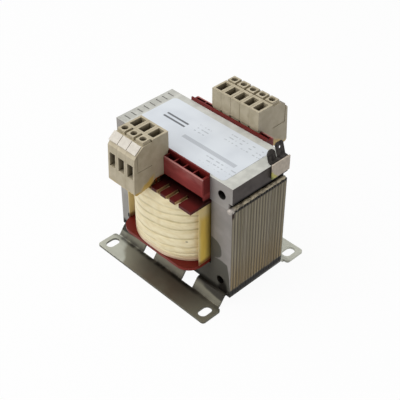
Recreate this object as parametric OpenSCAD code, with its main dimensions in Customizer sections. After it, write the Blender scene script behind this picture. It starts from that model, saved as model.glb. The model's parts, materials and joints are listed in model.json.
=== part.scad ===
// Laminated chassis transformer: a welded E and I core stands on a folded foot plate.
// A moulded bobbin on the centre leg holds the coil and two rows of spring-clamp terminals.
// X runs along the core width, Y through the lamination stack, Z up from the floor.

/* [Core] */
// Width of the centre leg, which the coil surrounds
centre_leg_w = 32; // [28:1:36]
// Width of each outer leg
side_leg_w = 16; // [14:1:20]
// Clear width of each window between the legs
window_w = 16; // [14:1:20]
// Clear height of the windows
window_h = 48; // [42:1:60]
// Height of the upper and the lower yoke
yoke_h = 16; // [14:1:20]
// Depth of the lamination stack
stack_d = 45; // [36:1:60]
// Number of sheet packs that show as stripes on the ends of the legs
pack_count = 20; // [10:1:24]
// Width of the line between two packs
pack_line_w = 0.3; // [0.2:0.1:0.5]
// Depth of the line between two packs
pack_line_deep = 0.25; // [0.1:0.05:0.5]
// Diameter of the four corner holes
corner_hole_d = 5.5; // [4:0.1:6.5]
// Distance of each corner hole from the two nearest edges
corner_hole_inset = 8; // [6:0.5:9]
// Depth of the weld notch at each end of the joint
notch_deep = 2.8; // [2:0.1:3.5]
// Height of the weld notch above the joint
notch_h = 5; // [4:0.5:7]
// Radius of the weld bead
bead_r = 1.9; // [1.5:0.1:2.2]
// Length by which the weld bead runs past the stack at the front
bead_run_out = 0.2; // [0:0.1:2]

/* [Foot plate] */
// Thickness of the folded sheet
sheet_t = 1.5; // [1:0.1:2]
// Height of the core's underside above the floor
core_lift = 8; // [7:0.5:14]
// Width of each foot rail, front to back
rail_w = 15; // [13:0.5:24]
// Distance from the stack to each foot rail, bridged by the sloping web
web_run = 7; // [6:0.5:12]
// Inner radius of the bends
bend_r = 1.5; // [1:0.1:2]
// Set-back of the web from each end of the rails
web_inset = 3; // [1:0.5:5]
// Corner radius of the rails
rail_corner_r = 2; // [1:0.5:4]
// Distance from the middle of the plate to the near edge of a web window
web_window_start = 12.5; // [8:0.5:16]
// Width of a web window
web_window_w = 10; // [6:0.5:14]
// Distance between the fixing slots along X
slot_pitch_x = 84; // [74:1:86]
// Width of a fixing slot
slot_w = 6; // [4.5:0.1:7]
// Length of a fixing slot, front to back
slot_l = 9.4; // [8:0.1:11]

/* [Bobbin] */
// Gap between the bobbin and the core
bobbin_gap = 0.2; // [0.1:0.05:0.5]
// Wall of the tube round the centre leg
tube_wall = 1.5; // [1:0.1:2.5]
// Thickness of the two flanges
flange_t = 2; // [1.5:0.1:3]
// Reach of the flanges in front of and behind the stack
flange_reach = 16; // [12:0.5:20]
// Further reach of the lower flange to the front and the back
lower_flange_extra = 0.9; // [0:0.1:1.5]
// Set-back of the lower flange's ends from the window's sides
lower_flange_inset = 1; // [0:0.1:1.5]
// Corner radius of the lower flange
flange_corner_r = 10; // [4:0.5:12]
// Width of a slot between two tongues of the upper flange
comb_slot_w = 2.4; // [1.6:0.1:3]
// Distance of each slot from the line between two cells, towards the first cell
comb_shift = 1.8; // [1.6:0.1:2.2]
// Length of the slots between the tongues
comb_slot_l = 9.6; // [6:0.2:11]
// Outer depth of a carrier, front to back
carrier_d = 6; // [5.5:0.1:7]
// Height of a carrier
carrier_h = 12; // [10:0.5:14]
// Thickness of the carrier's walls
carrier_wall = 1; // [0.8:0.1:1.2]
// Height of a carrier's inner wall above the core
inner_wall_rise = 2; // [0:0.1:2.4]
// Thickness of the ribs between the cells
rib_t = 0.9; // [0.8:0.1:1.2]
// Thickness of the carrier's floor
carrier_floor_t = 1.2; // [1:0.1:2]
// Diameter of the pin hole in the floor of each cell
pin_hole_d = 1.8; // [1.6:0.1:2.2]

/* [Coil] */
// Gap between one layer of the coil and the next
layer_gap = 0.1; // [0.05:0.05:0.2]
// Build of the primary winding
primary_build = 5.6; // [4:0.1:6.5]
// Thickness of the insulation between the windings
interlayer_t = 0.5; // [0.3:0.1:0.8]
// Build of the secondary winding
secondary_build = 5.4; // [4:0.1:6]
// Reach of the windings past the stack at their upper and lower edges
winding_reach = 15; // [14:0.5:15.5]
// Further bulge of the coil's front and back at half height
coil_belly = 2; // [1:0.1:4]
// Bulge of the coil's sides at half height
side_belly = 2.2; // [0.5:0.1:2.6]
// Depth of the straight part of the coil's sides
side_straight = 36; // [30:1:44]
// Thickness of the outer wrap
wrap_t = 0.8; // [0.5:0.1:1]
// Number of turns of tape that show on the wrap
tape_turns = 7; // [5:1:9]
// Thickness of the film between the coil and the outer legs
side_film_t = 0.3; // [0.2:0.1:0.4]
// Reach of the film past the stack, front and back
side_film_reach = 8.5; // [5:0.5:10]

/* [Terminals] */
// Gap between a terminal module and the carrier it sits on
seat_gap = 0.1; // [0.05:0.05:0.3]
// Distance between two poles
pole_pitch = 7.5; // [7.3:0.1:7.7]
// Gap between two terminal modules
module_gap = 0.1; // [0.05:0.05:0.2]
// Number of poles in front
front_poles = 3; // [2:1:4]
// Number of poles at the rear
rear_poles = 5; // [2:1:5]
// First carrier cell of the front block, counted from the left
front_first_cell = 1; // [0:1:2]
// First carrier cell of the rear block, counted from the left
rear_first_cell = 2; // [1:1:3]
// Height of the modules above the core
module_rise = 15; // [14:0.5:18]
// Height of the modules' outer edge below the core's top
module_drop = 17; // [16:0.5:17]
// Depth of a module at its top, front to back
module_top_d = 25.2; // [24:0.2:27]
// Distance from the stack to the inner face of a module
module_setback = 2; // [1.7:0.1:2.5]
// Height of the modules' inner face above the core
module_under = 2.5; // [2:0.1:4]
// Forward lean of the modules' outer face over its height
face_lean = 1.1; // [0:0.1:2]
// Side of the raised square round each test hole
boss_w = 5.8; // [5.2:0.1:6.2]
// Height of the raised square above the top
boss_rise = 0.7; // [0.3:0.1:1]
// Diameter of the round test hole
test_hole_d = 4; // [3:0.1:4.4]
// Width of the openings and of the clamp chamber
chamber_w = 4.6; // [4:0.1:4.8]
// Length of the tool opening in the top
chamber_l = 8.6; // [8:0.1:9.4]
// Height of the wire entry
entry_h = 9; // [7:0.5:9]
// Wall between the tool opening and the module's inner face
chamber_wall = 1.4; // [0.8:0.1:1.6]
// Thickness of the marker tags
tag_t = 0.7; // [0.4:0.1:1]
// Width of the clamp spring's strip
spring_w = 3.6; // [3:0.1:3.8]
// Thickness of the clamp spring's strip
spring_t = 0.5; // [0.3:0.1:0.6]
// Thickness of the contact bar
contact_t = 0.8; // [0.6:0.1:0.9]
// Width of the contact's solder pin
pin_w = 1.1; // [0.8:0.1:1.2]
// Diameter of the winding's lead wires
lead_d = 1; // [0.6:0.1:1.1]

/* [Earth terminal] */
// Thickness of the earth bracket, as on a 6.3 mm flat plug
earth_t = 0.8; // [0.8:0.1:1]
// Width of the flat plug
plug_w = 6.3; // [4.8:0.1:6.3]
// Length of the flat plug above its bend
plug_l = 8; // [7:0.1:9]
// Width of the rounded lug
lug_w = 6.2; // [5:0.1:6.4]
// Length of the rounded lug above its bend
lug_l = 6.4; // [5:0.1:8]
// Slot between the lug and the plug
lug_slot_w = 1; // [0.8:0.1:1.4]
// Lean of the lug and the plug towards the coil
earth_lean = 17; // [10:1:25]
// Distance from the rear of the stack to the bracket
earth_inset = 1.2; // [0.8:0.1:2]
// Height of the marker plate
marker_h = 9.8; // [8:0.1:10.5]
// Thickness of the marker plate
marker_t = 1; // [0.8:0.1:1.3]
// Overhang of the marker plate past the bracket at each side
marker_overhang = 0.6; // [0.3:0.1:1]

/* [Label] */
// Width of the rating label
label_w = 79; // [60:1:80]
// Depth of the rating label
label_d = 38.5; // [30:0.5:39]
// Thickness of the rating label
label_t = 0.15; // [0.1:0.05:0.3]
// Corner radius of the rating label
label_corner_r = 3; // [1:0.5:5]
// Offset of the rating label from the middle of the core, towards the front
label_offset = 1.8; // [0:0.1:2.5]

/* [Hidden] */
$fn = 48;
eps = 0.01;
cut = 1;

// Core
half_w = centre_leg_w / 2 + window_w + side_leg_w;
half_d = stack_d / 2;
window_z0 = core_lift + yoke_h;
joint_z = window_z0 + window_h;
core_top = joint_z + yoke_h;
pack_t = stack_d / pack_count;
mark_count = 8;
mark_pitch = stack_d / (mark_count + 1);
mark_inset = 2;
mark_l = 4.8;
mark_w = 0.9;
mark_deep = 0.2;

// Foot plate
bend_mid_r = bend_r + sheet_t / 2;
web_drop = core_lift - sheet_t;
web_rise = web_drop / 2 - bend_mid_r;
web_half_l = sqrt(web_run * web_run / 4 + web_rise * web_rise - bend_mid_r * bend_mid_r);
web_angle = atan2(web_rise, web_run / 2) + atan2(bend_mid_r, web_half_l);
rail_y0 = half_d + web_run;
rail_y1 = rail_y0 + rail_w;
rail_mid = rail_y0 + rail_w / 2;

// Bobbin
tube_x0 = centre_leg_w / 2 + bobbin_gap;
tube_x1 = tube_x0 + tube_wall;
tube_y0 = half_d + bobbin_gap;
tube_y1 = tube_y0 + tube_wall;
flange_x = centre_leg_w / 2 + window_w - bobbin_gap;
flange_y = half_d + flange_reach;
bobbin_z0 = window_z0 + bobbin_gap;
bobbin_z1 = joint_z - bobbin_gap;
cell_count = 8;
comb_mouth_r = 0.8;
cell_w = pole_pitch - rib_t;
cells_x = cell_count * pole_pitch / 2;
carrier_x = cells_x + carrier_wall;
carrier_y1 = half_d + carrier_d;
cell_y0 = tube_y0 + carrier_wall;
cell_y1 = carrier_y1 - carrier_wall;
carrier_z0 = core_top - carrier_h;

// Coil
coil_z0 = bobbin_z0 + flange_t + layer_gap;
coil_z1 = bobbin_z1 - flange_t - layer_gap;
primary_x0 = tube_x1 + layer_gap;
primary_x1 = primary_x0 + primary_build;
primary_y0 = tube_y1 + layer_gap;
primary_y1 = primary_y0 + primary_build;
core_r = 0.3;
primary_r = core_r + primary_build;
interlayer_r = primary_r + layer_gap + interlayer_t;
interlayer_x0 = primary_x1 + layer_gap;
interlayer_x1 = interlayer_x0 + interlayer_t;
interlayer_y0 = primary_y1 + layer_gap;
interlayer_y1 = interlayer_y0 + interlayer_t;
secondary_x0 = interlayer_x1 + layer_gap;
secondary_x1 = secondary_x0 + secondary_build;
secondary_y0 = interlayer_y1 + layer_gap;
wrap_x0 = secondary_x1 + layer_gap;
wrap_x1 = wrap_x0 + wrap_t;
wrap_y0 = half_d + winding_reach + layer_gap;
wrap_y1 = wrap_y0 + wrap_t;
tape_h = (coil_z1 - coil_z0) / tape_turns;
tape_line = 0.3;
tape_step = 0.3;
film_x0 = wrap_x1 + layer_gap;

// Terminals
module_y0 = half_d + module_setback;
module_top = core_top + module_rise;
module_low = core_top - module_drop;
module_w = pole_pitch - module_gap;
face_y0 = module_y0 + module_top_d;
face_y1 = face_y0 + face_lean;
saddle_y = carrier_y1 + seat_gap;
heel_d = 6.4;
knee_d = 10.9;
knee_rise = 1.5;
ledge = 0.4;
line_deep = 0.3;
line_w = 0.5;
line_inset = 2.3;
line_rise = 4;
line_h = 12;
line_run = 10;
face_top = core_top + 7.7;
tag_y0 = face_y0 - 1.4;
tag_z0 = core_top + 9.4;
tag_y1 = face_y0 - 6.5;
tag_rise = 13.5;
tag_z1 = core_top + tag_rise;
low_corner_r = 2;
boss_y1 = tag_y1 - 0.6;
boss_y0 = boss_y1 - boss_w;
chamber_y0 = module_y0 + chamber_wall;
chamber_y1 = chamber_y0 + chamber_l;
entry_top = core_top + 3;
entry_z0 = entry_top - entry_h;
tenon_w = cell_w - 4 * seat_gap;
tenon_y1 = cell_y1 - 2 * seat_gap;
tenon_y0 = module_y0 + seat_gap;
tenon_z0 = carrier_z0 + carrier_floor_t + 0.8;
contact_y0 = chamber_y0 + seat_gap;
contact_y1 = contact_y0 + contact_t;
contact_top = entry_top + 6;
pin_y = (contact_y0 + contact_y1) / 2;
pin_z0 = bobbin_z1 + 1.6;
spring_y0 = contact_y1 + layer_gap;
spring_r = (chamber_y1 - 0.8 - spring_y0) / 2;
spring_z0 = core_top + 0.3;
spring_z1 = contact_top - spring_r + 0.8;
lead_z = pin_z0 + 0.9;
lead_y = half_d + 10.5;
tag_slope = atan2(tag_z1 - tag_z0, tag_y0 - tag_y1);
tag_l = norm([tag_z1 - tag_z0, tag_y0 - tag_y1]) - 0.4;

// Earth terminal
earth_y1 = half_d - earth_inset;
plug_y0 = earth_y1 - plug_w;
lug_y1 = plug_y0 - lug_slot_w;
earth_y0 = lug_y1 - lug_w;
earth_bend_r = 0.5;
earth_drop = 8.4;
earth_shelf_l = 0.8;
tab_x = half_w - earth_bend_r - earth_shelf_l;
tab_z = core_top + 2 * earth_bend_r + earth_t;
plug_hole_d = 1.8;

FRONT_TERMINALS = [for (i = [1:front_poles]) str("front_terminal_", i)];
REAR_TERMINALS = [for (i = [1:rear_poles]) str("rear_terminal_", i)];

// Points along an arc round [cx, cy], from angle a0 to a1
function arc(cx, cy, r, a0, a1, steps = 8) =
    [for (i = [0:steps]) let (a = a0 + (a1 - a0) * i / steps) [cx + r * cos(a), cy + r * sin(a)]];

// The same outline on the other side of the middle, run backwards
function mirrored(points) = [for (i = [len(points) - 1:-1:0]) [-points[i][0], points[i][1]]];

// A rectangle with round corners, made of exact arcs
module rounded_rect(w, d, r) {
    square([w - 2 * r, d], center = true);
    square([w, d - 2 * r], center = true);
    for (sx = [-1, 1], sy = [-1, 1])
        translate([sx * (w / 2 - r), sy * (d / 2 - r)]) circle(r);
}

// Extrudes an outline drawn in Y and Z along X, about x = 0
module along_x(length) {
    translate([-length / 2, 0, 0]) rotate([90, 0, 90]) linear_extrude(length) children();
}

// Extrudes an outline drawn in X and Z along Y, about y = 0
module along_y(length) {
    rotate([90, 0, 0]) linear_extrude(length, center = true) children();
}

// ---------- Core ----------

// The lines between the sheet packs on both ends of the stack, over a stretch of its height
module pack_lines(z0, z1) {
    for (i = [1:pack_count - 1], side = [-1, 1])
        translate([side * half_w, i * pack_t - half_d, (z0 + z1) / 2])
            cube([2 * pack_line_deep, pack_line_w, z1 - z0], center = true);
}

// The two corner holes at one height
module corner_holes(z) {
    for (side = [-1, 1])
        translate([side * (half_w - corner_hole_inset), 0, z])
            rotate([90, 0, 0]) cylinder(h = stack_d + 2 * cut, d = corner_hole_d, center = true);
}

module e_laminations() {
    color("#8a8680") difference() {
        along_y(stack_d) {
            translate([-half_w, core_lift]) square([2 * half_w, yoke_h]);
            for (side = [-1, 1])
                translate([side * (half_w - side_leg_w / 2) - side_leg_w / 2, core_lift])
                    square([side_leg_w, joint_z - core_lift]);
            translate([-centre_leg_w / 2, core_lift]) square([centre_leg_w, joint_z - core_lift]);
        }
        pack_lines(core_lift - cut, joint_z + cut);
        corner_holes(core_lift + corner_hole_inset);
    }
}

// The weld notch at the right end of the yoke, below its outer face
module weld_notch() {
    along_y(stack_d + 2 * cut)
        translate([half_w - notch_deep, joint_z - cut]) square([notch_deep + cut, notch_h + cut]);
}

module i_laminations() {
    color("#908c86") difference() {
        translate([-half_w, -half_d, joint_z]) cube([2 * half_w, stack_d, yoke_h]);
        for (i = [1:mark_count])
            translate([-half_w + mark_inset, (i - (mark_count + 1) / 2) * mark_pitch - mark_w / 2, core_top - mark_deep])
                cube([mark_l, mark_w, mark_deep + cut]);
        corner_holes(core_top - corner_hole_inset);
        for (side = [0, 1]) mirror([side, 0, 0]) weld_notch();
    }
}

// A weld bead that fills the corner between the yoke's notch and the outer leg
module weld_bead() {
    bead_x = half_w - notch_deep;
    bead_l = stack_d + bead_run_out;
    intersection() {
        translate([bead_x + 0.6 * bead_r, half_d, joint_z + 0.6 * bead_r]) rotate([90, 0, 0]) {
            cylinder(h = bead_l, r = bead_r);
            translate([0, 0, bead_l]) sphere(r = bead_r);
        }
        translate([bead_x, -half_d - 3 * bead_r - bead_run_out, joint_z])
            cube([3 * bead_r, stack_d + 3 * bead_r + bead_run_out, notch_h - seat_gap]);
    }
}

module weld_bead_left() { color("#a39a86") mirror([1, 0, 0]) weld_bead(); }
module weld_bead_right() { color("#a39a86") weld_bead(); }

// ---------- Foot plate ----------

// Half of the folded section: under the core, down the web and out along the rail
function foot_section() =
    let (z1 = core_lift - sheet_t - bend_r, z2 = sheet_t + bend_r)
    concat(
        arc(half_d, z1, bend_r + sheet_t, 90, 90 - web_angle),
        arc(rail_y0, z2, bend_r, 270 - web_angle, 270),
        [[rail_y1, sheet_t], [rail_y1, 0]],
        arc(rail_y0, z2, bend_r + sheet_t, 270, 270 - web_angle),
        arc(half_d, z1, bend_r, 90 - web_angle, 90));

// The sheet's outline from above, with the webs set back from the ends of the rails
module foot_plan() {
    square([2 * half_w, stack_d], center = true);
    square([2 * (half_w - web_inset), 2 * rail_y1 - 2 * rail_corner_r], center = true);
    for (side = [-1, 1])
        translate([0, side * rail_mid]) rounded_rect(2 * half_w, rail_w, rail_corner_r);
}

module foot_slot() {
    straight = slot_l - slot_w;
    cube([slot_w, straight, 4 * sheet_t], center = true);
    for (side = [-1, 1])
        translate([0, side * straight / 2, 0]) cylinder(h = 4 * sheet_t, d = slot_w, center = true);
}

module foot_plate() {
    window_y0 = half_d - sheet_t;
    window_y1 = rail_y0 - 0.6;
    color("#8b8b80") difference() {
        intersection() {
            along_x(2 * half_w) polygon(concat(foot_section(), mirrored(foot_section())));
            translate([0, 0, -cut]) linear_extrude(core_lift + 2 * cut) foot_plan();
        }
        for (sx = [-1, 1], sy = [-1, 1]) {
            translate([sx * slot_pitch_x / 2, sy * rail_mid, 0]) foot_slot();
            translate([sx * (web_window_start + web_window_w / 2), sy * (window_y0 + window_y1) / 2, core_lift / 2])
                cube([web_window_w, window_y1 - window_y0, core_lift + 2 * cut], center = true);
        }
    }
}

// ---------- Bobbin ----------

// Centre of a carrier cell along X, counted from 0 at the left
function cell_x(k) = (k + 0.5 - cell_count / 2) * pole_pitch;

// The rear carrier: a trough of cells above the flange, each with a pin hole in its floor
module carrier() {
    difference() {
        union() {
            translate([-carrier_x, tube_y0, carrier_z0])
                cube([2 * carrier_x, carrier_y1 - tube_y0, carrier_h]);
            translate([-carrier_x, tube_y0, bobbin_z1 - eps])
                cube([2 * carrier_x, carrier_wall, core_top + inner_wall_rise - bobbin_z1 + eps]);
            for (side = [-1, 1])
                translate([side * (cells_x + carrier_wall / 2), (tube_y0 + cell_y1) / 2, (bobbin_z1 + core_top) / 2 - eps])
                    cube([carrier_wall, cell_y1 - tube_y0, core_top - bobbin_z1], center = true);
        }
        for (k = [0:cell_count - 1]) translate([cell_x(k), 0, 0]) {
            translate([-cell_w / 2, cell_y0, carrier_z0 + carrier_floor_t])
                cube([cell_w, cell_y1 - cell_y0, carrier_h]);
            translate([0, pin_y, carrier_z0 - cut]) cylinder(h = carrier_floor_t + 2 * cut, d = pin_hole_d);
        }
    }
}

// The slots in the rear half of the upper flange, one beside each line between two cells.
// Their mouths are rounded, so that the leads slide in.
module comb_slots() {
    for (k = [1:cell_count - 1])
        translate([(k - cell_count / 2) * pole_pitch + comb_shift, 0, bobbin_z1 - flange_t - cut])
            linear_extrude(flange_t + 2 * cut) {
                translate([-comb_slot_w / 2, flange_y - comb_slot_l]) square([comb_slot_w, comb_slot_l + cut]);
                for (side = [0, 1]) mirror([side, 0, 0]) comb_mouth();
            }
}

// The rounding at the right side of a slot's mouth
module comb_mouth() {
    difference() {
        translate([comb_slot_w / 2 - eps, flange_y - comb_mouth_r]) square([comb_mouth_r + eps, comb_mouth_r + cut]);
        translate([comb_slot_w / 2 + comb_mouth_r, flange_y - comb_mouth_r]) circle(comb_mouth_r);
    }
}

module bobbin() {
    color("#7a2a24") difference() {
        union() {
            translate([-tube_x1, -tube_y1, bobbin_z0]) cube([2 * tube_x1, 2 * tube_y1, bobbin_z1 - bobbin_z0]);
            translate([0, 0, bobbin_z0]) linear_extrude(flange_t)
                rounded_rect(2 * (flange_x - lower_flange_inset), 2 * (flange_y + lower_flange_extra), flange_corner_r);
            translate([-flange_x, -flange_y, bobbin_z1 - flange_t]) cube([2 * flange_x, 2 * flange_y, flange_t]);
            for (turn = [0, 180]) rotate(turn) carrier();
        }
        translate([-tube_x0, -tube_y0, bobbin_z0 - cut])
            cube([2 * tube_x0, 2 * tube_y0, bobbin_z1 - bobbin_z0 + 2 * cut]);
        for (turn = [0, 180]) rotate(turn) comb_slots();
    }
}

// ---------- Coil ----------

// A flat-sided ring round the tube, between two half widths and two half depths
module ring(x0, y0, x1, y1, r0, r1, h) {
    linear_extrude(h) difference() {
        rounded_rect(2 * x1, 2 * y1, r1);
        rounded_rect(2 * x0, 2 * y0, r0);
    }
}

// Outline of the coil from above: straight sides, then an elliptical arc round each end
function coil_plan(x, y, steps = 14) =
    let (y0 = side_straight / 2)
    [for (end = [1, -1], i = [0:steps]) let (a = 180 * i / steps)
        [end * x * cos(a), end * (y0 + (y - y0) * sin(a))]];

// A round-ended block that bellies out at half height on all four sides
module belly_block(x, y, z0, z1) {
    intersection() {
        translate([0, 0, z0]) linear_extrude(z1 - z0) polygon(coil_plan(x, y + coil_belly));
        belly(x, y + coil_belly, coil_belly);
        rotate(90) belly(y + coil_belly, x, side_belly);
    }
}

// Two wide cylinders along X, whose overlap gives the front and the back their curve
module belly(x, y, sag) {
    half_h = (coil_z1 - coil_z0) / 2;
    belly_r = (half_h * half_h + sag * sag) / (2 * sag);
    intersection_for (side = [-1, 1])
        translate([0, side * (y - belly_r), (coil_z0 + coil_z1) / 2]) rotate([0, 90, 0])
            cylinder(h = 2 * x + 2 * cut, r = belly_r, center = true, $fn = 120);
}

module primary_winding() {
    color("#b0622c") translate([0, 0, coil_z0])
        ring(primary_x0, primary_y0, primary_x1, primary_y1, core_r, primary_r, coil_z1 - coil_z0);
}

module interlayer_insulation() {
    color("#d8cf9a") translate([0, 0, coil_z0])
        ring(interlayer_x0, interlayer_y0, interlayer_x1, interlayer_y1,
            primary_r + layer_gap, interlayer_r, coil_z1 - coil_z0);
}

module secondary_winding() {
    color("#b86a30") difference() {
        belly_block(secondary_x1, half_d + winding_reach, coil_z0, coil_z1);
        translate([0, 0, coil_z0 - cut]) linear_extrude(coil_z1 - coil_z0 + 2 * cut)
            rounded_rect(2 * secondary_x0, 2 * secondary_y0, interlayer_r + layer_gap);
    }
}

// The tape's turns lie edge to edge, with a fine step between one turn and the next
module outer_wrap() {
    color("#dccfa3") difference() {
        union() {
            belly_block(wrap_x1 - tape_step, wrap_y1 - tape_step, coil_z0, coil_z1);
            for (i = [0:tape_turns - 1])
                belly_block(wrap_x1, wrap_y1, coil_z0 + i * tape_h, coil_z0 + (i + 1) * tape_h - tape_line);
        }
        belly_block(wrap_x0, wrap_y0, coil_z0 - cut, coil_z1 + cut);
    }
}

// Film between the coil and the right leg
module side_film() {
    film_y = half_d + side_film_reach;
    translate([film_x0, -film_y, coil_z0]) cube([side_film_t, 2 * film_y, coil_z1 - coil_z0]);
}

module side_film_left() { color("#b9a24c") mirror([1, 0, 0]) side_film(); }
module side_film_right() { color("#b9a24c") side_film(); }

// ---------- Terminals ----------

// Places a rear-facing piece on carrier cell k, turned about for the front row
module on_cell(k, front = false) {
    translate([cell_x(k), 0, 0]) rotate(front ? 180 : 0) children();
}

// Puts one copy of a piece on each pole of the front or the rear block
module on_front_poles() {
    for (i = [1:front_poles]) on_cell(front_first_cell + i - 1, true) children();
}

module on_rear_poles() {
    for (i = [1:rear_poles]) on_cell(rear_first_cell + i - 1) children();
}

// Section of a module in Y and Z: it saddles the carrier's outer wall and reaches out and down
function module_section() = concat(
    [[module_y0, module_top], [module_y0, core_top + module_under],
     [saddle_y, core_top + seat_gap], [saddle_y, carrier_z0],
     [saddle_y + heel_d, carrier_z0], [saddle_y + knee_d, module_low + knee_rise]],
    arc(face_y1 - low_corner_r, module_low + low_corner_r, low_corner_r, -90, 0, 4),
    [[face_y0, face_top], [tag_y0, tag_z0], [tag_y1, tag_z1], [boss_y0 - ledge, tag_z1],
     [boss_y0 - ledge, module_top]]);

// The raised square round the test hole
module test_boss() {
    translate([-boss_w / 2, boss_y0, tag_z1 - eps])
        cube([boss_w, boss_w, module_top + boss_rise - tag_z1 + eps]);
}

// The plug under a module, which drops into the carrier's cell
module tenon() {
    translate([-tenon_w / 2, tenon_y0, tenon_z0])
        cube([tenon_w, tenon_y1 - tenon_y0, core_top + module_under - tenon_z0 + cut / 2]);
}

// The moulded corner line on the right end face of a block
module face_line() {
    translate([module_w / 2 - line_deep, face_y0 - line_inset, entry_z0 + line_rise]) {
        cube([line_deep + cut, line_w, line_h]);
        translate([0, -line_run, 0]) cube([line_deep + cut, line_run + line_w, line_w]);
    }
}

// One spring-clamp pole: tool opening and test hole above, wire entry in the outer face
module terminal(end = 0) {
    color("#a99e84") difference() {
        union() {
            along_x(module_w) polygon(module_section());
            test_boss();
            tenon();
        }
        translate([-chamber_w / 2, chamber_y0, entry_z0])
            cube([chamber_w, chamber_l, module_top - entry_z0 + cut]);
        translate([-chamber_w / 2, chamber_y1 - eps, entry_z0])
            cube([chamber_w, face_y1 - chamber_y1 + cut, entry_h]);
        translate([0, boss_y0 + boss_w / 2, entry_top - cut])
            cylinder(h = module_top + boss_rise - entry_top + 2 * cut, d = test_hole_d);
        translate([-pin_w / 2 - seat_gap, contact_y0 - seat_gap, tenon_z0 - cut])
            cube([pin_w + 2 * seat_gap, contact_t + 2 * seat_gap, entry_z0 - tenon_z0 + 2 * cut]);
        if (end != 0) mirror([end < 0 ? 1 : 0, 0, 0]) face_line();
    }
}

module front_terminal(i) {
    on_cell(front_first_cell + i - 1, true) terminal(i == 1 ? 1 : i == front_poles ? -1 : 0);
}

module rear_terminal(i) {
    on_cell(rear_first_cell + i - 1) terminal(i == 1 ? -1 : i == rear_poles ? 1 : 0);
}

// Cage spring: a strip that stands on the contact bar, turns over and comes down before the entry
module clamp_spring() {
    outer_y = spring_y0 + 2 * spring_r;
    mid_y = spring_y0 + spring_r;
    difference() {
        along_x(spring_w) {
            translate([spring_y0, spring_z0]) square([spring_t, spring_z1 - spring_z0]);
            translate([outer_y - spring_t, spring_z0]) square([spring_t, spring_z1 - spring_z0]);
            translate([spring_y0, spring_z0]) square([2 * spring_r, spring_t]);
            intersection() {
                translate([mid_y, spring_z1]) difference() {
                    circle(spring_r);
                    circle(spring_r - spring_t);
                }
                translate([spring_y0, spring_z1]) square([2 * spring_r, spring_r]);
            }
        }
        translate([-spring_w / 2 + 0.6, outer_y - 2 * spring_t, spring_z0 + 1])
            cube([spring_w - 1.2, 3 * spring_t, entry_h / 2]);
    }
}

module front_clamp_springs() { color("#8d8a80") on_front_poles() clamp_spring(); }
module rear_clamp_springs() { color("#8d8a80") on_rear_poles() clamp_spring(); }

// Contact bar: a strip up the chamber's wall, with a solder pin through the carrier's floor
module contact() {
    translate([-spring_w / 2, contact_y0, entry_z0 + 0.2])
        cube([spring_w, contact_t, contact_top - entry_z0 - 0.2]);
    translate([-pin_w / 2, contact_y0, pin_z0])
        cube([pin_w, contact_t, entry_z0 + 0.2 + eps - pin_z0]);
}

module front_contacts() { color("#c9a25a") on_front_poles() contact(); }
module rear_contacts() { color("#c9a25a") on_rear_poles() contact(); }

// Lead: up from the coil through a slot of the comb, then under the carrier to the pin
module lead() {
    lead_x = comb_shift - pole_pitch / 2;
    translate([lead_x, lead_y, coil_z1]) cylinder(h = lead_z - coil_z1, d = lead_d);
    translate([lead_x, lead_y, lead_z]) sphere(d = lead_d);
    translate([lead_x, pin_y, lead_z]) rotate([-90, 0, 0]) cylinder(h = lead_y - pin_y, d = lead_d);
    translate([lead_x, pin_y, lead_z]) sphere(d = lead_d);
    translate([lead_x, pin_y, lead_z]) rotate([0, 90, 0]) cylinder(h = -lead_x - pin_w / 2, d = lead_d);
}

module front_leads() { color("#b5652e") on_front_poles() lead(); }
module rear_leads() { color("#b5652e") on_rear_poles() lead(); }

// Plain marker tag on the slanted face above the wire entry
module marker_tag() {
    translate([0, (tag_y0 + tag_y1) / 2, (tag_z0 + tag_z1) / 2]) rotate([-tag_slope, 0, 0])
        translate([0, 0, tag_t / 2]) cube([module_w - 0.3, tag_l, tag_t], center = true);
}

module front_marker_tags() { color("#cfc6b4") on_front_poles() marker_tag(); }
module rear_marker_tags() { color("#cfc6b4") on_rear_poles() marker_tag(); }

// ---------- Earth terminal ----------

// Section in X and Z of the folds: up the yoke's side, in over its top, then up again
module earth_section() {
    turn = 90 - earth_lean;
    outer_r = earth_bend_r + earth_t;
    corner_x = half_w - earth_bend_r;
    polygon(concat(
        [[half_w + earth_t, core_top - earth_drop]],
        arc(corner_x, core_top, outer_r, 0, 90),
        arc(tab_x, tab_z, earth_bend_r, 270, 270 - turn),
        arc(tab_x, tab_z, outer_r, 270 - turn, 270),
        arc(corner_x, core_top, earth_bend_r, 90, 0),
        [[half_w, core_top - earth_drop]]));
}

// Places a tab's outline, drawn in Y and height, at the end of the second fold
module on_earth_fold() {
    translate([tab_x, 0, tab_z]) rotate([0, -earth_lean, 0])
        translate([-earth_bend_r - earth_t, 0, 0]) rotate([90, 0, 90]) linear_extrude(earth_t) children();
}

module earth_bracket() {
    plug_tip = 1;
    color("#55504d") {
        translate([0, (earth_y0 + earth_y1) / 2, 0]) along_y(earth_y1 - earth_y0) earth_section();
        on_earth_fold() {
            translate([earth_y0, -eps]) square([lug_w, lug_l - lug_w / 2 + eps]);
            translate([earth_y0 + lug_w / 2, lug_l - lug_w / 2]) circle(lug_w / 2);
            difference() {
                polygon([
                    [plug_y0, -eps], [earth_y1, -eps], [earth_y1, plug_l - plug_tip],
                    [earth_y1 - plug_tip, plug_l], [plug_y0 + plug_tip, plug_l], [plug_y0, plug_l - plug_tip]]);
                translate([plug_y0 + plug_w / 2, 0.6 * plug_l]) circle(plug_hole_d / 2);
            }
        }
    }
}

// Plain plate that marks the earth terminal, on the bracket's outer face
module earth_marker() {
    marker_y0 = earth_y0 - marker_overhang;
    color("#c4b6a0")
        translate([half_w + earth_t, marker_y0, core_top - earth_drop])
            cube([marker_t, earth_y1 + marker_overhang - marker_y0, marker_h]);
}

// ---------- Label ----------

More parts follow.
